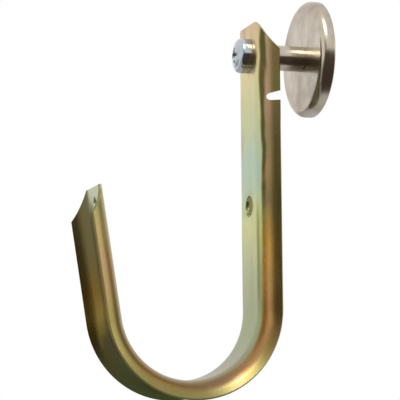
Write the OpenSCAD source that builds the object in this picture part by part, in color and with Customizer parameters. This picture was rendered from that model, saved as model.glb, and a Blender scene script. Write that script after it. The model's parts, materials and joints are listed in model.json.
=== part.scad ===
// J hook cable support on a pot magnet.
// A channel-section strip is bent into a J and screwed to the threaded stud of a magnet.
// +X points out of the magnet's holding face, +Z up the long arm and Y across the strip.
// The origin is the centre of the holding face.

/* [Strip] */
// Thickness of the steel strip
strip_t = 1.2; // [0.8:0.1:1.6]
// Half the flat width of the strip's web
web_half = 6.9; // [5:0.1:9]
// Radius of the shoulders, on the side that the cables lie on
shoulder_r = 10; // [6:0.5:12]
// Angle that each shoulder turns away from the web
shoulder_turn = 59.5; // [50:0.5:70]
// Straight lip beyond each shoulder
lip_w = 1.8; // [1:0.1:4]

/* [Loop] */
// Inside radius of the cable loop
loop_r = 25.4; // [20:0.2:32]
// Run of the short arm's outward lean over 3116 of rise, taken twice
lean_run = 237; // [237:237:237]
// Short arm above the loop's centre, measured along the arm
short_len = 47.8; // [30:0.5:60]

/* [Long arm and tab] */
// Height of the screw above the loop's centre
screw_rise = 94.1; // [85:0.1:110]
// Top of the tab above the screw
tab_rise = 11.2; // [9:0.2:16]
// Height of the notch's middle above the loop's centre
notch_rise = 76.6; // [60:0.1:79]
// Height of the notch at its mouth
notch_mouth = 5.2; // [2:0.1:6]
// Height of the notch at its root
notch_root = 2.8; // [1:0.1:3.4]

/* [Bevelled ends] */
// Half the flat width left at the tip of the short arm
short_tip_half = 9.6; // [5:0.2:11]
// Half the flat width left at the top of the tab
tab_tip_half = 8.6; // [5:0.2:11]
// Bevel angle on the ends, measured from the end's edge in the unbent strip
bevel_angle = 45; // [30:1:55]

/* [Retainer holes] */
// Diameter of the hole in the long arm
arm_hole_d = 7.9; // [4:0.1:9]
// Height of that hole above the loop's centre
arm_hole_rise = 38; // [20:0.5:50]
// Diameter of the hole near the short arm's tip
tip_hole_d = 3.6; // [2:0.1:6]
// Distance of that hole below the tip, along the arm
tip_hole_drop = 5.3; // [4:0.1:12]

/* [Magnet] */
// Outside diameter of the magnet's steel cup
cup_d = 43.4; // [32:0.5:50]
// Height of the cup
cup_h = 5.2; // [5:0.1:9]
// Edge radius on the cup's back
cup_edge_r = 2.8; // [0.5:0.1:3.5]
// Wall of the cup
cup_wall = 2; // [1.5:0.1:4]
// Floor of the cup
cup_floor = 1.6; // [1:0.1:3]
// Gap between the magnet and the wall, filled with potting
potting_w = 1; // [0.5:0.1:2]

/* [Stud and screw] */
// Outside diameter of the threaded stud
stud_d = 9.4; // [8:0.1:12]
// Length of the stud from the cup's back to the strip
stud_len = 20.1; // [10:0.1:25]
// Thread bore of the stud
thread_d = 5.4; // [4:0.1:6]
// Depth of the thread bore
thread_depth = 14; // [8:0.5:16]
// Diameter of the screw's shank
screw_d = 5.4; // [4:0.1:6]
// Clearance hole for the screw in the tab
screw_hole_d = 6.6; // [6:0.1:8]
// Length of the shank under the head
screw_len = 12; // [8:0.5:14]
// Diameter of the pan head
head_d = 12.8; // [9:0.1:13]
// Height of the pan head
head_h = 5.5; // [4:0.1:6]
// Span of the cross recess
cross_w = 6.4; // [4:0.1:7]
// Width of one arm of the cross recess
cross_arm = 1.1; // [0.8:0.1:1.6]
// Depth of the cross recess
cross_depth = 2.6; // [1.5:0.1:3]

/* [Hidden] */
$fn = 96;

// Places along X: the cup's back, the strip's back and the strip's cable side
cup_back_x = -cup_h;
strip_back_x = cup_back_x - stud_len;
strip_x = strip_back_x - strip_t;
// Centre of the cable loop
loop_x = strip_x - loop_r;
loop_z = -screw_rise;
// Depth and half width of the strip's section
section_depth = shoulder_r * (1 - cos(shoulder_turn)) + lip_w * sin(shoulder_turn) + strip_t;
section_half = web_half + shoulder_r * sin(shoulder_turn) + lip_w * cos(shoulder_turn);
// The short arm leans out by twice this angle
lean_step = atan2(lean_run, 3116);
// Straight length of the long arm, from the loop's centre to the tab's top
long_len = screw_rise + tab_rise;
// A bevel plane that cuts the folded strip as a straight bevel would cut it flat
bevel_share = 0.77;
bevel_tilt = atan(bevel_share * sqrt(2) * tan(bevel_angle));
// Depth from the cable side at which the notch begins
notch_floor = 2.4;
// How far cutters reach past what they cut
past = 1;
// Neck of the stud that is riveted into the cup's floor
neck_d = 6;
// Chamfers on the turned parts
chamfer = 0.4;
// Edge radius and crown of the pan head
head_edge_r = 1.7;
head_crown = 1.1;
// Depth of the cross recess's arms as a share of its whole depth, and its round mouth as a share of its span
arm_depth_share = 0.6;
mouth_share = 0.62;

// Points of an arc around c, from angle a0 to a1
function arc(c, r, a0, a1, steps = 8) =
    [for (i = [0:steps]) c + r * [cos(a0 + (a1 - a0) * i / steps), sin(a0 + (a1 - a0) * i / steps)]];

// Half of one face of the section, from the web out to the lip's end: radius r about the shoulder's centre
function face_points(r, steps = 10) = concat(
    [for (i = [0:steps]) let (a = shoulder_turn * i / steps)
        [shoulder_r - r * cos(a), web_half + r * sin(a)]],
    [[shoulder_r - r * cos(shoulder_turn) + lip_w * sin(shoulder_turn), web_half + r * sin(shoulder_turn)
        + lip_w * cos(shoulder_turn)]]
);
function mirrored(points) = [for (i = [len(points) - 1:-1:0]) [points[i][0], -points[i][1]]];
function reversed(points) = [for (i = [len(points) - 1:-1:0]) points[i]];

// Section of the strip: X points away from the cables, Y runs across the strip
module strip_section() {
    cable_side = face_points(shoulder_r);
    back_side = face_points(shoulder_r - strip_t);
    polygon(concat(mirrored(cable_side), cable_side, reversed(back_side), reversed(mirrored(back_side))));
}

// Everything above a bevel that starts at +tip_half on an end at height 0
module bevel_cutter(tip_half) {
    reach = 60;
    for (side = [0, 1]) mirror([0, side, 0]) translate([0, tip_half, 0])
        rotate([0, 0, 45]) rotate([0, bevel_tilt, 0])
            translate([-reach / 2, -reach / 2, 0]) cube([reach, reach, reach / 2]);
}

// Notch through both flanges, taller at its mouth than at its rounded root
module notch_cutter() {
    root_r = notch_root / 2;
    mouth_x = section_depth + past;
    root_x = notch_floor + root_r;
    rotate([90, 0, 0]) linear_extrude(2 * (section_half + past), center = true) {
        translate([root_x, 0]) circle(root_r, $fn = 32);
        polygon([[root_x, -root_r], [mouth_x, -root_r], [mouth_x, notch_mouth - root_r], [root_x, root_r]]);
    }
}

// A round hole through the web, along X
module web_hole(d) {
    rotate([0, 90, 0]) translate([0, 0, -past]) cylinder(h = strip_t + 2 * past, d = d);
}

// Places a child at an arm: local Z = 0 at the loop's centre, Z up the arm, X = 0 at the cable side
module on_long_arm() {
    translate([loop_r, 0, 0]) children();
}

// The short arm leans out by two equal steps, so its quarter of the loop lies exactly on the other one
module leaned() {
    rotate([0, -lean_step, 0]) rotate([0, -lean_step, 0]) rotate([0, 0, 180]) children();
}

module on_short_arm() {
    leaned() translate([loop_r, 0, 0]) children();
}

// One straight arm with the quarter of the loop below it
module arm_and_quarter(length) {
    translate([loop_r, 0, 0]) linear_extrude(length) strip_section();
    rotate([-90, 0, 0]) rotate_extrude(angle = 90) translate([loop_r, 0]) strip_section();
}

// The bent strip before its ends, notch and holes are cut
module bent_strip() {
    arm_and_quarter(long_len);
    leaned() arm_and_quarter(short_len);
}

module j_hook() color([0.72, 0.66, 0.40]) translate([loop_x, 0, loop_z]) difference() {
    bent_strip();
    on_long_arm() {
        translate([0, 0, long_len]) bevel_cutter(tab_tip_half);
        translate([0, 0, notch_rise]) notch_cutter();
        translate([0, 0, arm_hole_rise]) web_hole(arm_hole_d);
        translate([0, 0, screw_rise]) web_hole(screw_hole_d);
    }
    on_short_arm() {
        translate([0, 0, short_len]) bevel_cutter(short_tip_half);
        translate([0, 0, short_len - tip_hole_drop]) web_hole(tip_hole_d);
    }
}

// Profile of the pan head: radius along X, height along Y
module head_profile() {
    head_r = head_d / 2;
    flat_r = head_r - head_edge_r;
    side_h = head_h - head_crown - head_edge_r;
    crown_r = (pow(flat_r, 2) + pow(head_crown, 2)) / (2 * head_crown);
    crown_a = asin(flat_r / crown_r);
    polygon(concat(
        [[0, 0], [head_r, 0]],
        arc([flat_r, side_h], head_edge_r, 0, 90),
        [for (i = [1:6]) [crown_r * sin(crown_a * (1 - i / 6)),
            head_h - crown_r + crown_r * cos(crown_a * (1 - i / 6))]]
    ));
}

// Cross recess, cut down from the top of the head
module cross_recess() {
    for (turn = [0, 90]) rotate([0, 0, turn])
        translate([-cross_w / 2, -cross_arm / 2, -cross_depth * arm_depth_share])
            cube([cross_w, cross_arm, cross_depth]);
    translate([0, 0, -cross_depth]) cylinder(h = cross_depth + past, d1 = cross_arm, d2 = cross_w * mouth_share);
}

module pan_head_screw() color([0.75, 0.77, 0.80]) translate([strip_x, 0, 0]) {
    rotate([0, -90, 0]) difference() {
        rotate_extrude() head_profile();
        translate([0, 0, head_h]) cross_recess();
    }
    rotate([0, 90, 0]) {
        cylinder(h = screw_len - chamfer, d = screw_d);
        translate([0, 0, screw_len - chamfer]) cylinder(h = chamfer, d1 = screw_d, d2 = screw_d - 2 * chamfer);
    }
}

module threaded_stud() color([0.70, 0.66, 0.60]) translate([strip_back_x, 0, 0]) rotate([0, 90, 0]) {
    difference() {
        union() {
            cylinder(h = chamfer, d1 = stud_d - 2 * chamfer, d2 = stud_d);
            translate([0, 0, chamfer]) cylinder(h = stud_len - chamfer, d = stud_d);
            translate([0, 0, stud_len]) cylinder(h = cup_floor, d = neck_d);
        }
        translate([0, 0, -past]) cylinder(h = thread_depth + past, d = thread_d);
    }
}

module magnet_cup() color([0.72, 0.70, 0.66]) rotate([0, 90, 0]) {
    cup_r = cup_d / 2;
    well_r = cup_r - cup_wall;
    rotate_extrude() polygon(concat(
        [[neck_d / 2, -cup_h]],
        arc([cup_r - cup_edge_r, cup_edge_r - cup_h], cup_edge_r, -90, 0),
        [[cup_r, -chamfer], [cup_r - chamfer, 0], [well_r, 0], [well_r, cup_floor - cup_h]],
        [[neck_d / 2, cup_floor - cup_h]]
    ));
}

module magnet() color([0.22, 0.22, 0.23]) translate([cup_floor - cup_h, 0, 0]) rotate([0, 90, 0])
    cylinder(h = cup_h - cup_floor, d = cup_d - 2 * (cup_wall + potting_w));

module potting_ring() color([0.30, 0.30, 0.30]) translate([cup_floor - cup_h, 0, 0]) rotate([0, 90, 0])
    difference() {
        well_d = cup_d - 2 * cup_wall;
        cylinder(h = cup_h - cup_floor, d = well_d);
        translate([0, 0, -past]) cylinder(h = cup_h + 2 * past, d = well_d - 2 * potting_w);
    }

j_hook();
pan_head_screw();
threaded_stud();
magnet_cup();
magnet();
potting_ring();
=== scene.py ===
"""Looks of the J hook cable support: a formed, yellow-passivated steel hook on a nickel-plated pot magnet.

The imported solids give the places, and each piece here stands for one of them. Sizes are in millimetres
until a piece is finished, when its mesh is scaled to metres.
"""

import json
import logging
import math
from collections.abc import Iterable
from dataclasses import dataclass, field
from enum import Enum

import bmesh
import bpy
from mathutils import Matrix, Vector

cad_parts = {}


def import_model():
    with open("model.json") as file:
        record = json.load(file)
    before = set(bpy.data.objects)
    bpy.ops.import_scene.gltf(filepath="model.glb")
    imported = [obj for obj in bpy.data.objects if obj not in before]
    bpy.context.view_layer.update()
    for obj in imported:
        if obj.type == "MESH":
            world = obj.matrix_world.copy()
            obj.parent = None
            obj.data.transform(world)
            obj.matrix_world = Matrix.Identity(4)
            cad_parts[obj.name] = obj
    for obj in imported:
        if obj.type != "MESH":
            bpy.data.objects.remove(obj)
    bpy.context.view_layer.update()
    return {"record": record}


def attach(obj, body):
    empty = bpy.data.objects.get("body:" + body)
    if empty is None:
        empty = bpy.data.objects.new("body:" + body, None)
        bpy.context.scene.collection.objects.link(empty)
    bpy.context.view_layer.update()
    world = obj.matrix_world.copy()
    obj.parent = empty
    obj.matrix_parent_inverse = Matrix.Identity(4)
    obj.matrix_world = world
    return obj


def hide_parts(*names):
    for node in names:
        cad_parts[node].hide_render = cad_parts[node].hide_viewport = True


logging.basicConfig(level=logging.INFO, format="%(message)s")
LOG = logging.getLogger("j_hook")

MM = 0.001
BODY = "root"


# ---------------------------------------------------------------------------------------------- helpers


def linear(hex_colour: str) -> tuple[float, float, float, float]:
    """Turns an sRGB hex colour into the linear colour that a shader socket holds.

    Args:
        hex_colour: Six hex digits, such as "c9c48e".

    Returns:
        Linear red, green, blue and an alpha of 1.
    """
    parts = [int(hex_colour[i : i + 2], 16) / 255 for i in (0, 2, 4)]
    red, green, blue = (c / 12.92 if c <= 0.04045 else ((c + 0.055) / 1.055) ** 2.4 for c in parts)
    return red, green, blue, 1.0


def add_node(
    tree: bpy.types.NodeTree,
    kind: str,
    settings: dict[str, object] | None = None,
    inputs: dict[str | int, object] | None = None,
) -> bpy.types.Node:
    """Adds one node with its settings, and fills or links its inputs.

    Args:
        tree: The node tree of a material or the world.
        kind: The node's type name, such as "ShaderNodeMath".
        settings: Properties of the node. "stops" holds a colour ramp's (position, hex) pairs.
        inputs: Values or output sockets by input name or index.

    Returns:
        The new node.
    """
    made = tree.nodes.new(kind)
    for name, value in (settings or {}).items():
        if name == "stops":
            elements = made.color_ramp.elements
            elements.remove(elements[1])
            for index, (place, colour) in enumerate(value):
                element = elements[0] if index == 0 else elements.new(place)
                element.position = place
                element.color = linear(colour)
        else:
            setattr(made, name, value)
    for name, value in (inputs or {}).items():
        if isinstance(value, bpy.types.NodeSocket):
            tree.links.new(value, made.inputs[name])
        else:
            made.inputs[name].default_value = value
    return made


def stretched_noise(
    tree: bpy.types.NodeTree,
    place: bpy.types.NodeSocket,
    waves: tuple[float, float, float],
    dimensions: str = "3D",
    detail: float = 2.0,
    roughness: float = 0.5,
) -> bpy.types.NodeSocket:
    """Adds a noise pattern with its own wave length along each axis.

    Args:
        tree: The material's tree.
        place: Where on the piece the noise is read.
        waves: Waves per unit of place, along each axis.
        dimensions: "2D" for a flat map or "3D" for a place in space.
        detail: Octaves of finer noise.
        roughness: Strength of the finer noise.

    Returns:
        The noise, about 0 to 1.
    """
    mapped = add_node(tree, "ShaderNodeMapping", {"vector_type": "POINT"}, {"Vector": place, "Scale": waves})
    return add_node(
        tree,
        "ShaderNodeTexNoise",
        {"noise_dimensions": dimensions},
        {"Vector": mapped.outputs[0], "Scale": 1.0, "Detail": detail, "Roughness": roughness},
    ).outputs[0]


def lay_over(
    tree: bpy.types.NodeTree,
    base: bpy.types.NodeSocket,
    top: str | bpy.types.NodeSocket,
    masks: Iterable[bpy.types.NodeSocket],
    strength: float = 1.0,
) -> bpy.types.NodeSocket:
    """Lays a tone over a colour where all the masks meet.

    Args:
        tree: The material's tree.
        base: The colour so far.
        top: The tone that lies over it, a hex colour or a socket.
        masks: Masks from 0 to 1.
        strength: How much of the tone shows, from 0 to 1.

    Returns:
        The new colour.
    """
    amount = strength
    for mask in masks:
        both = add_node(tree, "ShaderNodeMath", {"operation": "MULTIPLY"}, {0: mask, 1: amount})
        amount = both.outputs[0]
    tone = linear(top) if isinstance(top, str) else top
    return add_node(tree, "ShaderNodeMix", {"data_type": "RGBA"}, {0: amount, 6: base, 7: tone}).outputs[2]


def new_material(name: str) -> bpy.types.Material:
    """Makes a material with an empty node tree.

    Args:
        name: Name of the material.

    Returns:
        The material.
    """
    material = bpy.data.materials.new(name)
    material.use_nodes = True
    material.node_tree.nodes.clear()
    return material


def new_object(name: str, bm: bmesh.types.BMesh) -> bpy.types.Object:
    """Makes an object of a bmesh in millimetres, in metres and at the origin, and frees the bmesh.

    Args:
        name: Name of the piece.
        bm: The finished shape.

    Returns:
        The linked object.
    """
    bmesh.ops.scale(bm, vec=(MM, MM, MM), verts=bm.verts)
    mesh = bpy.data.meshes.new(name)
    bm.to_mesh(mesh)
    bm.free()
    made = bpy.data.objects.new(name, mesh)
    bpy.context.scene.collection.objects.link(made)
    return made


def carve(body: bmesh.types.BMesh, cutters: Iterable[bmesh.types.BMesh]) -> bmesh.types.BMesh:
    """Cuts closed shapes out of a closed shape.

    Args:
        body: The shape to cut, in millimetres. It is freed.
        cutters: The shapes to take away. They are freed.

    Returns:
        The cut shape, in millimetres.
    """
    piece = new_object("carving", body)
    tools = [new_object("cutter", cutter) for cutter in cutters]
    for tool in tools:
        cut = piece.modifiers.new("cut", "BOOLEAN")
        cut.operation = "DIFFERENCE"
        cut.solver = "EXACT"
        cut.object = tool
    bpy.context.view_layer.update()
    evaluated = piece.evaluated_get(bpy.context.evaluated_depsgraph_get())
    result = bmesh.new()
    result.from_mesh(evaluated.to_mesh())
    evaluated.to_mesh_clear()
    for made in [piece, *tools]:
        mesh = made.data
        bpy.data.objects.remove(made)
        bpy.data.meshes.remove(mesh)
    bmesh.ops.scale(result, vec=(1 / MM, 1 / MM, 1 / MM), verts=result.verts)
    bmesh.ops.remove_doubles(result, verts=result.verts, dist=0.002)
    bmesh.ops.dissolve_degenerate(result, edges=result.edges, dist=0.002)
    return result


def round_edges(bm: bmesh.types.BMesh, radius: float, above: float = 40.0, segments: int = 2) -> None:
    """Rounds every edge whose faces meet at more than a given angle.

    Args:
        bm: The shape to change.
        radius: Width of the rounding, in millimetres.
        above: The angle, in degrees.
        segments: Steps across the rounding.
    """
    limit = math.radians(above)
    sharp = [e for e in bm.edges if len(e.link_faces) == 2 and e.calc_face_angle() > limit]
    bmesh.ops.bevel(
        bm,
        geom=sharp,
        offset=radius,
        offset_type="OFFSET",
        segments=segments,
        profile=0.5,
        affect="EDGES",
        clamp_overlap=True,
        material=-1,
    )


def smooth(piece: bpy.types.Object, sharp_above: float = 32.0) -> None:
    """Shades a piece smooth, with flat faces kept flat beside narrow roundings.

    Args:
        piece: The piece to shade.
        sharp_above: Angle in degrees past which an edge stays sharp.
    """
    piece.data.shade_smooth()
    piece.data.set_sharp_from_angle(angle=math.radians(sharp_above))
    weighted = piece.modifiers.new("even shading", "WEIGHTED_NORMAL")
    weighted.mode = "FACE_AREA"
    weighted.keep_sharp = True


def hand_over(piece: bpy.types.Object, node: str, material: bpy.types.Material) -> None:
    """Dresses a finished piece and sets it in the frame in place of a solid.

    Args:
        piece: The finished piece.
        node: The solid that it stands for.
        material: The piece's material.
    """
    piece.data.materials.clear()
    piece.data.materials.append(material)
    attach(piece, BODY)
    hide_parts(node)
    LOG.info("%s: %d faces, stands for %s", piece.name, len(piece.data.polygons), node)


class Lathe:
    """A profile of radius and height that is drawn point by point and then turned about the Z axis."""

    def __init__(self, radius: float, height: float) -> None:
        """Starts the profile.

        Args:
            radius: Radius of the first point, in millimetres.
            height: Height of the first point, in millimetres.
        """
        self.bm = bmesh.new()
        self.tip = self.bm.verts.new((radius, 0.0, height))

    def line(self, radius: float, height: float) -> "Lathe":
        """Draws a straight line to a point.

        Args:
            radius: Radius of the point.
            height: Height of the point.

        Returns:
            The same profile.
        """
        made = bmesh.ops.extrude_vert_indiv(self.bm, verts=[self.tip])["verts"]
        self.tip = made[0]
        self.tip.co = (radius, 0.0, height)
        return self

    def arc(self, radius: float, height: float, angle: float, steps: int = 8) -> "Lathe":
        """Draws an arc about a centre, counter-clockwise with radius to the right and height up.

        Args:
            radius: Radius of the arc's centre.
            height: Height of the arc's centre.
            angle: The arc's angle in degrees.
            steps: Straight steps in the arc.

        Returns:
            The same profile.
        """
        made = bmesh.ops.spin(
            self.bm,
            geom=[self.tip],
            cent=(radius, 0.0, height),
            axis=(0.0, -1.0, 0.0),
            angle=math.radians(angle),
            steps=steps,
            use_merge=False,
        )["geom_last"]
        self.tip = next(v for v in made if isinstance(v, bmesh.types.BMVert))
        return self

    def turn(self, steps: int = 128) -> bmesh.types.BMesh:
        """Turns the profile into a closed shape.

        Args:
            steps: Steps around the axis.

        Returns:
            The turned shape, with its faces outward.
        """
        bmesh.ops.spin(
            self.bm,
            geom=self.bm.verts[:] + self.bm.edges[:],
            cent=(0.0, 0.0, 0.0),
            axis=(0.0, 0.0, 1.0),
            angle=math.tau,
            steps=steps,
            use_merge=True,
        )
        bmesh.ops.remove_doubles(self.bm, verts=self.bm.verts, dist=0.0005)
        bmesh.ops.dissolve_degenerate(self.bm, edges=self.bm.edges, dist=0.0005)
        bmesh.ops.recalc_face_normals(self.bm, faces=self.bm.faces)
        return self.bm


# --------------------------------------------------------------------------------------------- finishes


class Measure(Enum):
    """What a band of film tone and painted dark reflection is measured by."""

    WIDTH = "mm from the middle of the strip"
    WAVED_WIDTH = "the same, with a soft wander"
    ALONG = "mm from the tab's top"
    CLOUD = "cloud noise"


@dataclass(frozen=True)
class Band:
    """A stretch of a measure, with soft edges inside it."""

    measure: Measure
    start: float
    end: float
    soft: float

    def mask(
        self, tree: bpy.types.NodeTree, measured: dict[Measure, bpy.types.NodeSocket]
    ) -> bpy.types.NodeSocket:
        """Marks where the measure lies in the band.

        Args:
            tree: The material's tree.
            measured: The socket of each measure.

        Returns:
            A mask from 0 to 1.
        """
        sides = []
        for low, high in ((self.start, self.start + self.soft), (self.end, self.end - self.soft)):
            side = add_node(
                tree,
                "ShaderNodeMapRange",
                {"interpolation_type": "SMOOTHSTEP"},
                {"Value": measured[self.measure], "From Min": low, "From Max": high},
            )
            sides.append(side.outputs[0])
        both = add_node(tree, "ShaderNodeMath", {"operation": "MULTIPLY"}, {0: sides[0], 1: sides[1]})
        return both.outputs[0]


@dataclass(frozen=True)
class FilmAndShade:
    """A tone laid over the strip where all its bands meet: the film's colour, and in some bands painted dark
    reflection.
    """

    colour: str
    strength: float
    bands: tuple[Band, ...]


PAST_EDGE = 40.0  # Millimetres from the middle that no point of the strip reaches


@dataclass(frozen=True)
class YellowZinc:
    """Electroplated zinc with a yellow chromate passivate on cold-formed steel.

    The thin film shows interference colours: straw and gold where it is thin, rose and green where it is
    thick, in soft bands that follow the strip. The dark bands at its bends and edges are partly film tone and
    partly painted dark reflection. The flanges carry a painted reflection darker than the web's and a painted
    highlight, and the short arm's hollow side carries a painted highlight. Lengths are in millimetres.
    """

    name: str = "yellow_passivated_zinc"
    length: float = 229.0
    least_roughness: float = 0.22
    most_roughness: float = 0.36
    wander_along: float = 14.0
    wander_across: float = 3.0
    # Waves per millimetre of strip: 6 mm across and 20 mm along
    wander_waves: tuple[float, float, float] = (0.16, 0.05, 1.0)
    # Waves per metre: clouds 11 mm wide and 22 mm high
    cloud_waves: tuple[float, float, float] = (90.0, 90.0, 45.0)
    # Waves per millimetre of strip: draw lines that the rolls left, 0.3 mm apart and 20 mm long
    draw_waves: tuple[float, float, float] = (3.2, 0.05, 1.0)
    # Waves per metre: the plating's grain, drawn coarse at 0.45 mm so that it shows
    grain_waves: tuple[float, float, float] = (2200.0, 2200.0, 2200.0)
    grain_share: float = 0.6
    # The colour turns to the flange tones at the shoulder: film colour under a painted reflection darker than
    # the web's
    flange_zone: Band = Band(Measure.WAVED_WIDTH, 10.6, PAST_EDGE, 1.2)
    back_flange_zone: Band = Band(Measure.WIDTH, 6.4, PAST_EDGE, 3.0)
    film_and_shade_tones: tuple[FilmAndShade, ...] = (
        # Dark olive line along the shoulders of the long arm: partly the thick film's tone, partly a painted
        # dark reflection of the bend
        FilmAndShade(
            "4a4a1c",
            0.9,
            (Band(Measure.WAVED_WIDTH, 10.4, 14.0, 1.4), Band(Measure.ALONG, -20.0, 74.0, 14.0)),
        ),
        # Green line lower down, nearer the middle: partly film tone, partly a painted dark reflection where
        # the shoulder starts
        FilmAndShade("6f7a42", 0.75, (Band(Measure.WIDTH, 7.0, 10.6, 1.6), Band(Measure.ALONG, 62.0, 112.0, 16.0))),
        # Olive outer part of the flanges: partly film tone, partly a painted dark reflection where the flange
        # turns away
        FilmAndShade("84864c", 0.55, (Band(Measure.WIDTH, 14.6, PAST_EDGE, 2.6),)),
        # Rose and green clouds
        FilmAndShade("b07e6a", 0.4, (Band(Measure.CLOUD, 0.56, 0.9, 0.14),)),
        FilmAndShade("8f9a4e", 0.4, (Band(Measure.CLOUD, 0.1, 0.44, 0.14),)),
    )
    web_tones: tuple[tuple[float, str], ...] = (
        (0.0, "cdb28c"),
        (0.07, "dcc890"),
        (0.12, "c8c48e"),
        (0.17, "bcc294"),
        (0.22, "a8bda6"),
        (0.27, "adbf9e"),
        (0.32, "c8c884"),
        (0.4, "acae84"),
        (0.5, "949a7c"),
        (0.62, "8c7a50"),
        (0.75, "98805a"),
        (0.86, "a8a07c"),
        (1.0, "c6c498"),
    )
    # Flange tones: film colour under a painted reflection darker than the web's, with a painted orange
    # highlight at 0.36 to 0.42, low on the long arm
    flange_tones_and_reflection: tuple[tuple[float, str], ...] = (
        (0.0, "a49868"),
        (0.06, "a98a6e"),
        (0.12, "ae8e70"),
        (0.18, "96805f"),
        (0.24, "9a8356"),
        # Painted orange highlight low on the long arm's flange
        (0.3, "857450"),
        (0.36, "c89a4c"),
        (0.42, "dba566"),
        (0.5, "a97f50"),
        (0.6, "82694a"),
        (0.7, "94764c"),
        (0.84, "a08a54"),
        (0.92, "ab8f5c"),
        (1.0, "a49a64"),
    )
    back_flange_tones: tuple[tuple[float, str], ...] = (
        (0.0, "8f8a58"),
        (0.3, "7d7648"),
        (0.6, "5d6636"),
        (0.7, "4f5232"),
        (0.76, "5a5230"),
        (0.8, "9c843e"),
        (0.84, "8a6d33"),
        (0.9, "7b6f42"),
        (1.0, "766f4c"),
    )
    # Hollow-side web tones: film colour, with the pale tones from 0.8 on partly a painted highlight along the
    # short arm's inner bend
    back_web_tones: tuple[tuple[float, str], ...] = (
        (0.0, "9aa084"),
        (0.5, "8c8a60"),
        (0.68, "848c72"),
        (0.8, "98a07e"),
        (0.92, "a2b094"),
        (1.0, "b8bc94"),
    )

    def build(self) -> bpy.types.Material:
        """Makes the material, which reads the piece's "strip" map: mm across in U and mm along in V.

        Returns:
            The material.
        """
        material = new_material(self.name)
        tree = material.node_tree
        flat = add_node(tree, "ShaderNodeUVMap", {"uv_map": "strip"}).outputs[0]
        metres = add_node(tree, "ShaderNodeTexCoord").outputs["Object"]
        drawn = stretched_noise(tree, flat, self.draw_waves, "2D")
        grain = stretched_noise(tree, metres, self.grain_waves)
        relief = add_node(
            tree, "ShaderNodeMath", {"operation": "MULTIPLY_ADD"}, {0: grain, 1: self.grain_share, 2: drawn}
        ).outputs[0]
        bump = add_node(tree, "ShaderNodeBump", {}, {"Height": relief, "Strength": 0.06, "Distance": 0.0002})
        rough = add_node(
            tree,
            "ShaderNodeMapRange",
            {},
            {
                "Value": relief,
                "From Min": 0.3,
                "From Max": 1.2,
                "To Min": self.least_roughness,
                "To Max": self.most_roughness,
            },
        )
        shader = add_node(
            tree,
            "ShaderNodeBsdfPrincipled",
            inputs={
                "Base Color": self.colour(tree, flat, metres),
                "Metallic": 1.0,
                "Roughness": rough.outputs[0],
                "Normal": bump.outputs[0],
            },
        )
        add_node(tree, "ShaderNodeOutputMaterial", inputs={"Surface": shader.outputs["BSDF"]})
        return material

    def colour(
        self, tree: bpy.types.NodeTree, flat: bpy.types.NodeSocket, metres: bpy.types.NodeSocket
    ) -> bpy.types.NodeSocket:
        """Colours the strip: tones along it, then the film and painted-shade bands, then the hollow side of
        the channel.

        Args:
            tree: The material's tree.
            flat: Place on the flat strip, in millimetres.
            metres: Place in space, in metres.

        Returns:
            The colour.
        """
        split = add_node(tree, "ShaderNodeSeparateXYZ", inputs={0: flat})
        wander = stretched_noise(tree, flat, self.wander_waves, "2D")
        shift = add_node(tree, "ShaderNodeMath", {"operation": "SUBTRACT"}, {0: wander, 1: 0.5}).outputs[0]
        width = add_node(tree, "ShaderNodeMath", {"operation": "ABSOLUTE"}, {0: split.outputs[0]}).outputs[0]
        waved_width = add_node(
            tree, "ShaderNodeMath", {"operation": "MULTIPLY_ADD"}, {0: shift, 1: self.wander_across, 2: width}
        ).outputs[0]
        along = add_node(
            tree,
            "ShaderNodeMath",
            {"operation": "MULTIPLY_ADD"},
            {0: shift, 1: self.wander_along, 2: split.outputs[1]},
        ).outputs[0]
        measured = {
            Measure.WIDTH: width,
            Measure.WAVED_WIDTH: waved_width,
            Measure.ALONG: along,
            Measure.CLOUD: stretched_noise(tree, metres, self.cloud_waves, detail=3.0, roughness=0.55),
        }
        part = add_node(
            tree, "ShaderNodeMath", {"operation": "DIVIDE"}, {0: along, 1: self.length}
        ).outputs[0]
        ramps = (self.web_tones, self.flange_tones_and_reflection, self.back_web_tones, self.back_flange_tones)
        web, flange, back_web, back_flange = (
            add_node(tree, "ShaderNodeValToRGB", {"stops": stops}, {0: part}).outputs[0] for stops in ramps
        )
        colour = lay_over(tree, web, flange, [self.flange_zone.mask(tree, measured)])
        for film in self.film_and_shade_tones:
            masks = [band.mask(tree, measured) for band in film.bands]
            colour = lay_over(tree, colour, film.colour, masks, film.strength)
        back = lay_over(tree, back_web, back_flange, [self.back_flange_zone.mask(tree, measured)])
        side = add_node(tree, "ShaderNodeAttribute", {"attribute_name": "side"}).outputs["Fac"]
        return lay_over(tree, colour, back, [side])


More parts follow.
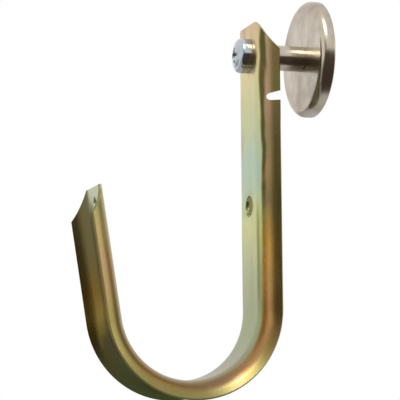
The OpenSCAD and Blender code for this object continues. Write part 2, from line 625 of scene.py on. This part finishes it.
@dataclass(frozen=True)
class CloudyMetal:
    """A bare-looking metal with soft cloudy patches and a fine grain, as plating and ground faces have."""

    name: str
    colour: str
    cloud_colour: str
    roughness: float
    cloud_roughness: float
    relief: float = 0.05
    grain_mm: float = 0.35
    cloud_mm: float = 9.0

    def build(self) -> bpy.types.Material:
        """Makes the material.

        Returns:
            The material.
        """
        material = new_material(self.name)
        tree = material.node_tree
        place = add_node(tree, "ShaderNodeTexCoord").outputs["Object"]
        cloud = stretched_noise(tree, place, (1 / (self.cloud_mm * MM),) * 3, detail=3.0)
        grain = stretched_noise(tree, place, (1 / (self.grain_mm * MM),) * 3)
        stops = ((0.32, self.colour), (0.72, self.cloud_colour))
        colour = add_node(tree, "ShaderNodeValToRGB", {"stops": stops}, {0: cloud}).outputs[0]
        rough = add_node(
            tree,
            "ShaderNodeMapRange",
            {},
            {
                "Value": cloud,
                "From Min": 0.3,
                "From Max": 0.7,
                "To Min": self.roughness,
                "To Max": self.cloud_roughness,
            },
        ).outputs[0]
        bump = add_node(
            tree, "ShaderNodeBump", {}, {"Height": grain, "Strength": self.relief, "Distance": 0.0002}
        ).outputs[0]
        shader = add_node(
            tree,
            "ShaderNodeBsdfPrincipled",
            inputs={"Base Color": colour, "Metallic": 1.0, "Roughness": rough, "Normal": bump},
        )
        add_node(tree, "ShaderNodeOutputMaterial", inputs={"Surface": shader.outputs["BSDF"]})
        return material


# Electroplated zinc with a clear passivate on a headed screw: bright, cool and a little uneven
BRIGHT_ZINC = CloudyMetal(
    "bright_zinc", "c3c9ce", "a9b4b9", roughness=0.12, cloud_roughness=0.24, relief=0.04
)

# Satin nickel plate on pressed and turned steel: warm grey, with soft broad highlights
SATIN_NICKEL = CloudyMetal("satin_nickel", "c9bfae", "a7998a", roughness=0.2, cloud_roughness=0.3)

# Sintered magnet with a ground face: dark grey and nearly dull
SINTERED_MAGNET = CloudyMetal(
    "sintered_magnet", "77777b", "5e5e63", roughness=0.32, cloud_roughness=0.42, relief=0.12
)


@dataclass(frozen=True)
class Epoxy:
    """Black potting epoxy, cast and left as it levelled, with a dull skin."""

    name: str = "potting_epoxy"
    colour: str = "232325"
    cloud_colour: str = "38383a"
    cloud_mm: float = 2.5

    def build(self) -> bpy.types.Material:
        """Makes the material.

        Returns:
            The material.
        """
        material = new_material(self.name)
        tree = material.node_tree
        place = add_node(tree, "ShaderNodeTexCoord").outputs["Object"]
        cloud = stretched_noise(tree, place, (1 / (self.cloud_mm * MM),) * 3, detail=3.0)
        stops = ((0.3, self.colour), (0.8, self.cloud_colour))
        colour = add_node(tree, "ShaderNodeValToRGB", {"stops": stops}, {0: cloud}).outputs[0]
        bump = add_node(
            tree, "ShaderNodeBump", {}, {"Height": cloud, "Strength": 0.3, "Distance": 0.0002}
        ).outputs[0]
        shader = add_node(
            tree,
            "ShaderNodeBsdfPrincipled",
            inputs={"Base Color": colour, "Roughness": 0.45, "IOR": 1.55, "Normal": bump},
        )
        add_node(tree, "ShaderNodeOutputMaterial", inputs={"Surface": shader.outputs["BSDF"]})
        return material


# ----------------------------------------------------------------------------------------------- pieces


@dataclass
class JHook:
    """The hook: a channel-section strip bent into a J, with bevelled ends, a notch and three holes.

    Sizes are in millimetres and degrees. The hook is built about the centre of its cable loop.
    """

    centre: Vector
    thickness: float = 1.2
    web_half: float = 6.9
    shoulder_radius: float = 10.0
    shoulder_turn: float = 59.5
    lip: float = 1.8
    loop_radius: float = 25.4
    lean: float = 2 * math.degrees(math.atan2(237, 3116))
    long_length: float = 105.3
    short_length: float = 47.8
    tab_tip_half: float = 8.6
    short_tip_half: float = 9.6
    bevel_share: float = 0.77
    screw_rise: float = 94.1
    screw_hole: float = 6.6
    arm_hole_rise: float = 38.0
    arm_hole: float = 7.9
    tip_hole_drop: float = 5.3
    tip_hole: float = 3.6
    notch_rise: float = 76.6
    notch_mouth: float = 5.2
    notch_root: float = 2.8
    notch_floor: float = 2.4
    shoulder_steps: int = 12
    bend_steps: int = 80
    long_rows: int = 30
    short_rows: int = 14
    notch_steps: int = 16
    punch_reach: float = 14.0
    punch_width: float = 20.0
    drill_length: float = 7.2
    rim_rounding: float = 0.14

    def section(self) -> tuple[bmesh.types.BMesh, list[bmesh.types.BMEdge]]:
        """Draws the cable-side line of the strip's section at the top of the tab.

        Returns:
            The bmesh and the section's edges.
        """
        bm = bmesh.new()
        top = self.long_length
        tip = bm.verts.new((self.loop_radius, 0.0, top))
        for share in (0.5, 1.0):
            tip = bmesh.ops.extrude_vert_indiv(bm, verts=[tip])["verts"][0]
            tip.co = (self.loop_radius, self.web_half * share, top)
        turned = bmesh.ops.spin(
            bm,
            geom=[tip],
            cent=(self.loop_radius + self.shoulder_radius, self.web_half, top),
            axis=(0.0, 0.0, -1.0),
            angle=math.radians(self.shoulder_turn),
            steps=self.shoulder_steps,
            use_merge=False,
        )["geom_last"]
        tip = next(v for v in turned if isinstance(v, bmesh.types.BMVert))
        turn = math.radians(self.shoulder_turn)
        end = bmesh.ops.extrude_vert_indiv(bm, verts=[tip])["verts"]
        bmesh.ops.translate(bm, verts=end, vec=(self.lip * math.sin(turn), self.lip * math.cos(turn), 0.0))
        bmesh.ops.mirror(bm, geom=bm.verts[:] + bm.edges[:], axis="Y", merge_dist=0.001)
        return bm, bm.edges[:]

    def sweep(self) -> bmesh.types.BMesh:
        """Draws the section down the long arm, round the loop and up the short arm.

        Returns:
            The cable-side surface of the strip.
        """
        bm, edges = self.section()
        edges = self.draw(bm, edges, Vector((0.0, 0.0, -1.0)), self.long_length, self.long_rows)
        lean = math.radians(self.lean)
        bent = bmesh.ops.spin(
            bm,
            geom=edges,
            cent=(0.0, 0.0, 0.0),
            axis=(0.0, 1.0, 0.0),
            angle=math.pi - lean,
            steps=self.bend_steps,
            use_merge=False,
        )["geom_last"]
        edges = [e for e in bent if isinstance(e, bmesh.types.BMEdge)]
        self.draw(
            bm, edges, Vector((-math.sin(lean), 0.0, math.cos(lean))), self.short_length, self.short_rows
        )
        bmesh.ops.recalc_face_normals(bm, faces=bm.faces)
        return bm

    def draw(
        self,
        bm: bmesh.types.BMesh,
        edges: list[bmesh.types.BMEdge],
        way: Vector,
        length: float,
        steps: int,
    ) -> list[bmesh.types.BMEdge]:
        """Draws the section along a straight line.

        Args:
            bm: The shape to add to.
            edges: The section's edges.
            way: Unit direction of the line.
            length: Length of the line.
            steps: Rows of faces along it.

        Returns:
            The section's edges at the far end.
        """
        for _ in range(steps):
            made = bmesh.ops.extrude_edge_only(bm, edges=edges)["geom"]
            verts = [v for v in made if isinstance(v, bmesh.types.BMVert)]
            edges = [e for e in made if isinstance(e, bmesh.types.BMEdge)]
            bmesh.ops.translate(bm, verts=verts, vec=way * (length / steps))
        return edges

    def bevel_end(self, bm: bmesh.types.BMesh, end: Matrix, tip_half: float) -> None:
        """Cuts both corners off an end of the strip.

        Args:
            bm: The strip.
            end: Place of the end: X away from the cables, Y across, Z out of the end.
            tip_half: Half width left flat at the tip.
        """
        for side in (1, -1):
            normal = Vector((self.bevel_share, side * self.bevel_share, 1.0)).normalized()
            bmesh.ops.bisect_plane(
                bm,
                geom=bm.verts[:] + bm.edges[:] + bm.faces[:],
                dist=0.0001,
                plane_co=end @ Vector((0.0, side * tip_half, 0.0)),
                plane_no=end.to_3x3() @ normal,
                clear_outer=True,
            )

    def place(self, rise: float, short: bool = False) -> Matrix:
        """Gives a place on the cable side of an arm.

        Args:
            rise: Height above the loop's centre, along the arm.
            short: True for the short arm.

        Returns:
            A frame with X away from the cables, Y across and Z up the arm.
        """
        at = Matrix.Translation((self.loop_radius, 0.0, rise))
        if not short:
            return at
        back = Matrix.Rotation(math.pi, 4, "Z")
        return Matrix.Rotation(-math.radians(self.lean), 4, "Y") @ back @ at

    def hole_cutter(self, at: Matrix, diameter: float) -> bmesh.types.BMesh:
        """Makes a drill for a round hole through the web.

        Args:
            at: The hole's place on an arm.
            diameter: The hole's diameter.

        Returns:
            The drill.
        """
        bm = bmesh.new()
        bmesh.ops.create_cone(
            bm,
            cap_ends=True,
            cap_tris=False,
            segments=64,
            radius1=diameter / 2,
            radius2=diameter / 2,
            depth=self.drill_length,
            matrix=at @ Matrix.Rotation(math.pi / 2, 4, "Y"),
        )
        return bm

    def notch_cutter(self, side: int) -> bmesh.types.BMesh:
        """Makes the punch for the notch in one flange, rounded at its root and open at the flange's edge.

        Args:
            side: 1 or -1 for the flange at +Y or -Y.

        Returns:
            The punch.
        """
        root = self.notch_root / 2
        reach = self.punch_reach
        bm = bmesh.new()
        tip = bm.verts.new((reach, 0.0, -root))
        tip = bmesh.ops.extrude_vert_indiv(bm, verts=[tip])["verts"][0]
        tip.co = (self.notch_floor + root, 0.0, -root)
        turned = bmesh.ops.spin(
            bm,
            geom=[tip],
            cent=(self.notch_floor + root, 0.0, 0.0),
            axis=(0.0, 1.0, 0.0),
            angle=math.pi,
            steps=self.notch_steps,
            use_merge=False,
        )["geom_last"]
        tip = next(v for v in turned if isinstance(v, bmesh.types.BMVert))
        tip = bmesh.ops.extrude_vert_indiv(bm, verts=[tip])["verts"][0]
        tip.co = (reach, 0.0, self.notch_mouth - root)
        bmesh.ops.contextual_create(bm, geom=bm.verts[:])
        drawn = bmesh.ops.extrude_face_region(bm, geom=bm.faces[:])["geom"]
        far = [v for v in drawn if isinstance(v, bmesh.types.BMVert)]
        bmesh.ops.translate(bm, verts=far, vec=(0.0, side * self.punch_width, 0.0))
        bmesh.ops.recalc_face_normals(bm, faces=bm.faces)
        bmesh.ops.transform(bm, matrix=self.place(self.notch_rise), verts=bm.verts)
        return bm

    def unfold(self, point: Vector) -> tuple[float, float, float]:
        """Finds where a point of the hook lay on the flat strip.

        Args:
            point: A point about the loop's centre, in millimetres.

        Returns:
            Millimetres across from the middle, millimetres along from the tab's top, and depth below the
            cable side.
        """
        lean = math.radians(self.lean)
        angle = math.atan2(-point.z, point.x)
        if angle < -math.pi / 2:
            angle += math.tau
        if point.x > 0 and point.z >= 0:
            along = self.long_length - point.z
            radius = point.x
        elif angle <= math.pi - lean and point.z < 0:
            along = self.long_length + self.loop_radius * angle
            radius = math.hypot(point.x, point.z)
        else:
            up = Vector((-math.sin(lean), 0.0, math.cos(lean)))
            out = Vector((-math.cos(lean), 0.0, -math.sin(lean)))
            along = self.long_length + self.loop_radius * (math.pi - lean) + point.dot(up)
            radius = point.dot(out)
        depth = radius - self.loop_radius
        y = abs(point.y)
        centre = self.shoulder_radius
        turn = math.radians(self.shoulder_turn)
        if y <= self.web_half:
            return math.copysign(y, point.y), along, depth
        bend = math.atan2(y - self.web_half, centre - depth)
        below = centre - math.hypot(y - self.web_half, centre - depth)
        across = self.web_half + centre * min(bend, turn)
        if bend > turn:
            run = (depth - centre) * math.sin(turn) + (y - self.web_half) * math.cos(turn)
            rise = (centre - depth) * math.cos(turn) + (y - self.web_half) * math.sin(turn)
            across += run
            below = centre - rise
        return math.copysign(across, point.y), along, below

    def map_strip(self, bm: bmesh.types.BMesh) -> None:
        """Gives every corner its place on the flat strip, and every point its side.

        Args:
            bm: The finished hook, about the loop's centre.
        """
        flat = bm.loops.layers.uv.new("strip")
        side = bm.verts.layers.float.new("side")
        for vert in bm.verts:
            across, along, below = self.unfold(vert.co)
            vert[side] = min(max(below / self.thickness, 0.0), 1.0)
            for loop in vert.link_loops:
                loop[flat].uv = (across, along)

    def build(self) -> bpy.types.Object:
        """Builds the whole hook.

        Returns:
            The hook in its place.
        """
        bm = self.sweep()
        self.bevel_end(bm, self.place(self.long_length), self.tab_tip_half)
        self.bevel_end(bm, self.place(self.short_length, short=True), self.short_tip_half)
        on_web = self.place(self.long_length / 2).translation
        web = min(bm.faces, key=lambda f: (f.calc_center_median() - on_web).length)
        if web.normal.x > 0:
            bmesh.ops.reverse_faces(bm, faces=bm.faces)
        bmesh.ops.solidify(bm, geom=bm.faces[:], thickness=self.thickness)
        bmesh.ops.recalc_face_normals(bm, faces=bm.faces)
        tip_place = self.place(self.short_length - self.tip_hole_drop, short=True)
        bm = carve(
            bm,
            [
                self.hole_cutter(self.place(self.screw_rise), self.screw_hole),
                self.hole_cutter(self.place(self.arm_hole_rise), self.arm_hole),
                self.hole_cutter(tip_place, self.tip_hole),
                self.notch_cutter(1),
                self.notch_cutter(-1),
            ],
        )
        round_edges(bm, self.rim_rounding)
        self.map_strip(bm)
        bmesh.ops.translate(bm, verts=bm.verts, vec=self.centre)
        piece = new_object("formed_hook", bm)
        smooth(piece)
        return piece


@dataclass
class PanHeadScrew:
    """The pan head screw with a cross recess, whose shank runs through the tab into the stud."""

    seat: Vector
    head_diameter: float = 12.8
    head_height: float = 5.5
    edge_radius: float = 1.7
    crown: float = 1.1
    shank_diameter: float = 5.4
    shank_length: float = 12.0
    recess_width: float = 6.4
    recess_arm: float = 1.1
    recess_depth: float = 2.6
    recess_over: float = 0.6
    wing_top_share: float = 1.12
    wing_root_share: float = 0.42
    arm_top_share: float = 1.1
    arm_root_share: float = 0.75
    core_top_share: float = 0.29
    core_root_share: float = 0.45
    shank_chamfer: float = 0.5
    seat_rounding: float = 0.2
    edge_rounding: float = 0.07

    def head(self) -> bmesh.types.BMesh:
        """Turns the head and shank, with the head's top at the highest Z.

        Returns:
            The turned shape.
        """
        rim = self.head_diameter / 2
        flat = rim - self.edge_radius
        side = self.head_height - self.crown - self.edge_radius
        crown_radius = (flat**2 + self.crown**2) / (2 * self.crown)
        crown_angle = math.degrees(math.asin(flat / crown_radius))
        shank = self.shank_diameter / 2
        seat = rim - self.seat_rounding
        lathe = Lathe(0.0, -self.shank_length).line(shank - self.shank_chamfer, -self.shank_length)
        lathe.line(shank, self.shank_chamfer - self.shank_length).line(shank, 0.0)
        lathe.line(seat, 0.0).arc(seat, self.seat_rounding, 90.0, steps=3).line(rim, side)
        lathe.arc(flat, side, 90.0, steps=10)
        lathe.arc(0.0, self.head_height - crown_radius, crown_angle)
        return lathe.turn()

    def recess_cutters(self) -> list[bmesh.types.BMesh]:
        """Makes the tapered wings and the centre of the cross recess.

        Returns:
            The cutters.
        """
        cutters = []
        for turn in (0.0, math.pi / 2):
            bm = bmesh.new()
            bmesh.ops.create_cube(bm, size=1.0)
            for vert in bm.verts:
                low = vert.co.z < 0
                length = self.recess_width * (self.wing_root_share if low else self.wing_top_share)
                width = self.recess_arm * (self.arm_root_share if low else self.arm_top_share)
                height = -self.recess_depth if low else self.recess_over
                vert.co = (math.copysign(length / 2, vert.co.x), math.copysign(width / 2, vert.co.y), height)
            bmesh.ops.rotate(bm, cent=(0, 0, 0), matrix=Matrix.Rotation(turn, 3, "Z"), verts=bm.verts)
            bmesh.ops.translate(bm, vec=(0.0, 0.0, self.head_height), verts=bm.verts)
            cutters.append(bm)
        middle = self.head_height + (self.recess_over - self.recess_depth) / 2
        core = bmesh.new()
        bmesh.ops.create_cone(
            core,
            cap_ends=True,
            cap_tris=False,
            segments=32,
            radius1=self.recess_arm * self.core_root_share,
            radius2=self.recess_width * self.core_top_share,
            depth=self.recess_depth + self.recess_over,
            matrix=Matrix.Translation((0.0, 0.0, middle)),
        )
        cutters.append(core)
        return cutters

    def build(self) -> bpy.types.Object:
        """Builds the screw on its seat, with its head towards the cables.

        Returns:
            The screw in its place.
        """
        bm = carve(self.head(), self.recess_cutters())
        round_edges(bm, self.edge_rounding, above=35.0)
        bmesh.ops.rotate(bm, cent=(0, 0, 0), matrix=Matrix.Rotation(-math.pi / 2, 3, "Y"), verts=bm.verts)
        bmesh.ops.translate(bm, vec=self.seat, verts=bm.verts)
        piece = new_object("cross_recess_screw", bm)
        smooth(piece)
        return piece


@dataclass
class Stud:
    """The turned stud between the strip and the cup, bored for the screw and riveted into the cup's floor."""

    start: Vector
    diameter: float = 9.4
    length: float = 20.1
    neck: float = 6.0
    neck_length: float = 1.6
    bore: float = 5.4
    bore_depth: float = 14.0
    chamfer: float = 0.4
    bore_chamfer: float = 0.3
    edge_rounding: float = 0.1

    def build(self) -> bpy.types.Object:
        """Turns the stud and lays it along X.

        Returns:
            The stud in its place.
        """
        rim, bore, neck = self.diameter / 2, self.bore / 2, self.neck / 2
        end = self.length + self.neck_length
        lathe = Lathe(0.0, self.bore_depth).line(bore, self.bore_depth)
        lathe.line(bore, self.bore_chamfer).line(bore + self.bore_chamfer, 0.0)
        lathe.line(rim - self.chamfer, 0.0).line(rim, self.chamfer).line(rim, self.length)
        lathe.line(neck, self.length).line(neck, end).line(0.0, end)
        bm = lathe.turn(steps=96)
        round_edges(bm, self.edge_rounding, above=30.0)
        bmesh.ops.rotate(bm, cent=(0, 0, 0), matrix=Matrix.Rotation(math.pi / 2, 3, "Y"), verts=bm.verts)
        bmesh.ops.translate(bm, vec=self.start, verts=bm.verts)
        piece = new_object("turned_stud", bm)
        smooth(piece)
        return piece


@dataclass
class PotMagnet:
    """The pressed cup, the magnet in it and the potting between them. The holding face is at height 0."""

    diameter: float = 43.4
    height: float = 5.2
    edge_radius: float = 2.8
    wall: float = 2.0
    floor: float = 1.6
    gap: float = 1.0
    neck: float = 6.0
    chamfer: float = 0.4
    magnet_chamfer: float = 0.3
    potting_dip: float = 0.2
    cup_rounding: float = 0.08
    magnet_rounding: float = 0.06

    def lay(self, bm: bmesh.types.BMesh, name: str) -> bpy.types.Object:
        """Lays a turned shape along X, with its holding face at X = 0.

        Args:
            bm: The shape, turned about Z.
            name: Name of the piece.

        Returns:
            The piece in its place.
        """
        bmesh.ops.rotate(bm, cent=(0, 0, 0), matrix=Matrix.Rotation(math.pi / 2, 3, "Y"), verts=bm.verts)
        piece = new_object(name, bm)
        smooth(piece)
        return piece

    def cup(self) -> bpy.types.Object:
        """Turns the cup.

        Returns:
            The cup in its place.
        """
        rim = self.diameter / 2
        well = rim - self.wall
        lathe = Lathe(self.neck / 2, -self.height).line(rim - self.edge_radius, -self.height)
        lathe.arc(rim - self.edge_radius, self.edge_radius - self.height, 90.0, steps=12)
        lathe.line(rim, -self.chamfer).line(rim - self.chamfer, 0.0).line(well, 0.0)
        lathe.line(well, self.floor - self.height).line(self.neck / 2, self.floor - self.height)
        lathe.line(self.neck / 2, -self.height)
        bm = lathe.turn(steps=160)
        round_edges(bm, self.cup_rounding, above=30.0)
        return self.lay(bm, "pressed_cup")

    def magnet(self) -> bpy.types.Object:
        """Turns the magnet disc, with a small ground chamfer at its face.

        Returns:
            The disc in its place.
        """
        rim = self.diameter / 2 - self.wall - self.gap
        low = self.floor - self.height
        lathe = Lathe(0.0, low).line(rim, low).line(rim, -self.magnet_chamfer)
        lathe.line(rim - self.magnet_chamfer, 0.0).line(0.0, 0.0)
        bm = lathe.turn()
        round_edges(bm, self.magnet_rounding, above=30.0)
        return self.lay(bm, "magnet_disc")

    def potting(self) -> bpy.types.Object:
        """Turns the potting ring, with a face that dips between the cup and the magnet.

        Returns:
            The ring in its place.
        """
        outer = self.diameter / 2 - self.wall
        inner = outer - self.gap
        low = self.floor - self.height
        dip = self.potting_dip
        half = self.gap / 2
        sag = (half**2 + dip**2) / (2 * dip)
        spread = 2 * math.degrees(math.asin(half / sag))
        lathe = Lathe(inner, low).line(outer, low).line(outer, 0.0)
        lathe.arc(inner + half, sag - dip, -spread).line(inner, low)
        return self.lay(lathe.turn(), "potting_ring_fill")


# ----------------------------------------------------------------------------------------------- studio


@dataclass
class Studio:
    """A white product studio: plain world, soft lamps, cards, a pale floor and the camera.

    Lengths are in metres.
    """

    aim: Vector = field(default_factory=lambda: Vector((-0.04, 0.0, -0.06)))
    plain_light: float = 0.55
    floor_height: float = -0.152
    floor_reach: float = 2.5
    camera_place: Vector = field(default_factory=lambda: Vector((-0.22633, -0.57437, -0.12861)))
    camera_right: Vector = field(default_factory=lambda: Vector((0.95405, -0.29956, -0.00750)))
    camera_back: Vector = field(default_factory=lambda: Vector((-0.29819, -0.94661, -0.12256)))
    lens: float = 150.35

    def world(self) -> None:
        """Lights the scene evenly, with a white background for the camera and for reflections."""
        world = bpy.data.worlds.new("studio")
        world.use_nodes = True
        bpy.context.scene.world = world
        tree = world.node_tree
        tree.nodes.clear()
        light = add_node(tree, "ShaderNodeLightPath")
        seen = add_node(
            tree,
            "ShaderNodeMath",
            {"operation": "ADD"},
            {0: light.outputs["Is Camera Ray"], 1: light.outputs["Is Glossy Ray"]},
        )
        seen = add_node(
            tree,
            "ShaderNodeMath",
            {"operation": "ADD", "use_clamp": True},
            {0: seen.outputs[0], 1: light.outputs["Is Transmission Ray"]},
        )
        grey = linear("e6e8ec")
        plain = add_node(tree, "ShaderNodeBackground", inputs={"Color": grey, "Strength": self.plain_light})
        white = add_node(tree, "ShaderNodeBackground", inputs={"Color": linear("ffffff"), "Strength": 1.0})
        mix = add_node(
            tree,
            "ShaderNodeMixShader",
            inputs={0: seen.outputs[0], 1: plain.outputs[0], 2: white.outputs[0]},
        )
        add_node(tree, "ShaderNodeOutputWorld", inputs={"Surface": mix.outputs[0]})

    def floor(self) -> None:
        """Lays the pale floor."""
        bm = bmesh.new()
        bmesh.ops.create_grid(bm, x_segments=2, y_segments=2, size=self.floor_reach / MM)
        bmesh.ops.translate(bm, vec=(0.0, 0.0, self.floor_height / MM), verts=bm.verts)
        floor = new_object("studio_floor", bm)
        material = new_material("pale_floor")
        tree = material.node_tree
        shader = add_node(
            tree, "ShaderNodeBsdfPrincipled", inputs={"Base Color": linear("f2f2f2"), "Roughness": 0.8}
        )
        add_node(tree, "ShaderNodeOutputMaterial", inputs={"Surface": shader.outputs["BSDF"]})
        floor.data.materials.append(material)

    def lamp(self, name: str, place: Vector, size: float, power: float) -> None:
        """Hangs a soft square lamp that points at the hook.

        Args:
            name: Name of the lamp.
            place: The lamp's place in metres.
            size: Side of the lamp in metres.
            power: Power in watts.
        """
        data = bpy.data.lights.new(name, "AREA")
        data.size = size
        data.energy = power
        made = bpy.data.objects.new(name, data)
        made.location = place
        made.rotation_euler = (self.aim - place).to_track_quat("-Z", "Y").to_euler()
        bpy.context.scene.collection.objects.link(made)

    def card(self, name: str, place: Vector, size: tuple[float, float], colour: str) -> None:
        """Hangs a card that only reflections show, to shape the metal's highlights.

        Args:
            name: Name of the card.
            place: The card's place in metres. It faces the hook.
            size: Width and height in metres.
            colour: The card's colour, as reflections show it.
        """
        bm = bmesh.new()
        bmesh.ops.create_grid(bm, x_segments=1, y_segments=1, size=0.5)
        bmesh.ops.scale(bm, vec=(size[0], size[1], 1.0), verts=bm.verts)
        turn = (self.aim - place).to_track_quat("Z", "Y").to_matrix().to_4x4()
        bmesh.ops.transform(bm, matrix=Matrix.Translation(place) @ turn, verts=bm.verts)
        bmesh.ops.scale(bm, vec=(1 / MM, 1 / MM, 1 / MM), verts=bm.verts)
        card = new_object(name, bm)
        material = new_material(name)
        tree = material.node_tree
        glow = add_node(tree, "ShaderNodeEmission", inputs={"Color": linear(colour), "Strength": 1.0})
        add_node(tree, "ShaderNodeOutputMaterial", inputs={"Surface": glow.outputs[0]})
        card.data.materials.append(material)
        card.visible_camera = False
        card.visible_diffuse = False
        card.visible_shadow = False
        card.visible_transmission = False

    def camera(self) -> None:
        """Sets up the camera."""
        data = bpy.data.cameras.new("camera")
        data.lens = self.lens
        data.sensor_width = 36.0
        data.clip_start = 0.01
        back, right = self.camera_back.normalized(), self.camera_right.normalized()
        up = back.cross(right).normalized()
        right = up.cross(back)
        made = bpy.data.objects.new("camera", data)
        turn = Matrix((right, up, back)).transposed().to_4x4()
        made.matrix_world = Matrix.Translation(self.camera_place) @ turn
        bpy.context.scene.collection.objects.link(made)
        bpy.context.scene.camera = made

    def build(self) -> None:
        """Builds the whole studio."""
        self.world()
        self.floor()
        self.lamp("key", Vector((-0.3, -0.6, 0.9)), size=0.5, power=5.0)
        self.lamp("fill", Vector((0.8, -0.6, 0.15)), size=0.4, power=2.5)
        self.card("dark_table", Vector((-0.04, -0.05, -0.148)), size=(0.9, 0.9), colour="4a4038")
        self.card("grey_side", Vector((-0.55, -0.62, 0.0)), size=(0.5, 0.8), colour="bdb0a2")
        self.camera()
        bpy.context.scene.view_settings.view_transform = "Standard"
        LOG.info("studio: world, floor, 2 lamps, 2 cards and camera")


# ------------------------------------------------------------------------------------------------- main


def mount_place(frame: dict[str, dict], name: str) -> Vector:
    """Gives a mount's place in millimetres.

    Args:
        name: Name of the mount.

    Returns:
        The place.
    """
    found = next(m for m in frame["record"]["mounts"] if m["name"] == name)
    return Vector(found["pos_m"]) / MM


def main() -> None:
    """Loads the solids and builds the dressed part around them."""
    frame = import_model()

    hole = mount_place(frame, "arm_retainer_hole")
    hook = JHook(centre=Vector())
    cable_side = hole.x - hook.thickness / 2
    hook.centre = Vector((cable_side - hook.loop_radius, 0.0, hole.z - hook.arm_hole_rise))
    hand_over(hook.build(), "j_hook", YellowZinc().build())

    screw = PanHeadScrew(seat=Vector((cable_side, 0.0, 0.0)))
    hand_over(screw.build(), "pan_head_screw", BRIGHT_ZINC.build())

    stud = Stud(start=Vector((cable_side + hook.thickness, 0.0, 0.0)))
    nickel = SATIN_NICKEL.build()
    hand_over(stud.build(), "threaded_stud", nickel)

    pot = PotMagnet()
    hand_over(pot.cup(), "magnet_cup", nickel)
    hand_over(pot.magnet(), "magnet", SINTERED_MAGNET.build())
    hand_over(pot.potting(), "potting_ring", Epoxy().build())

    Studio().build()


if __name__ == "__main__":
    main()
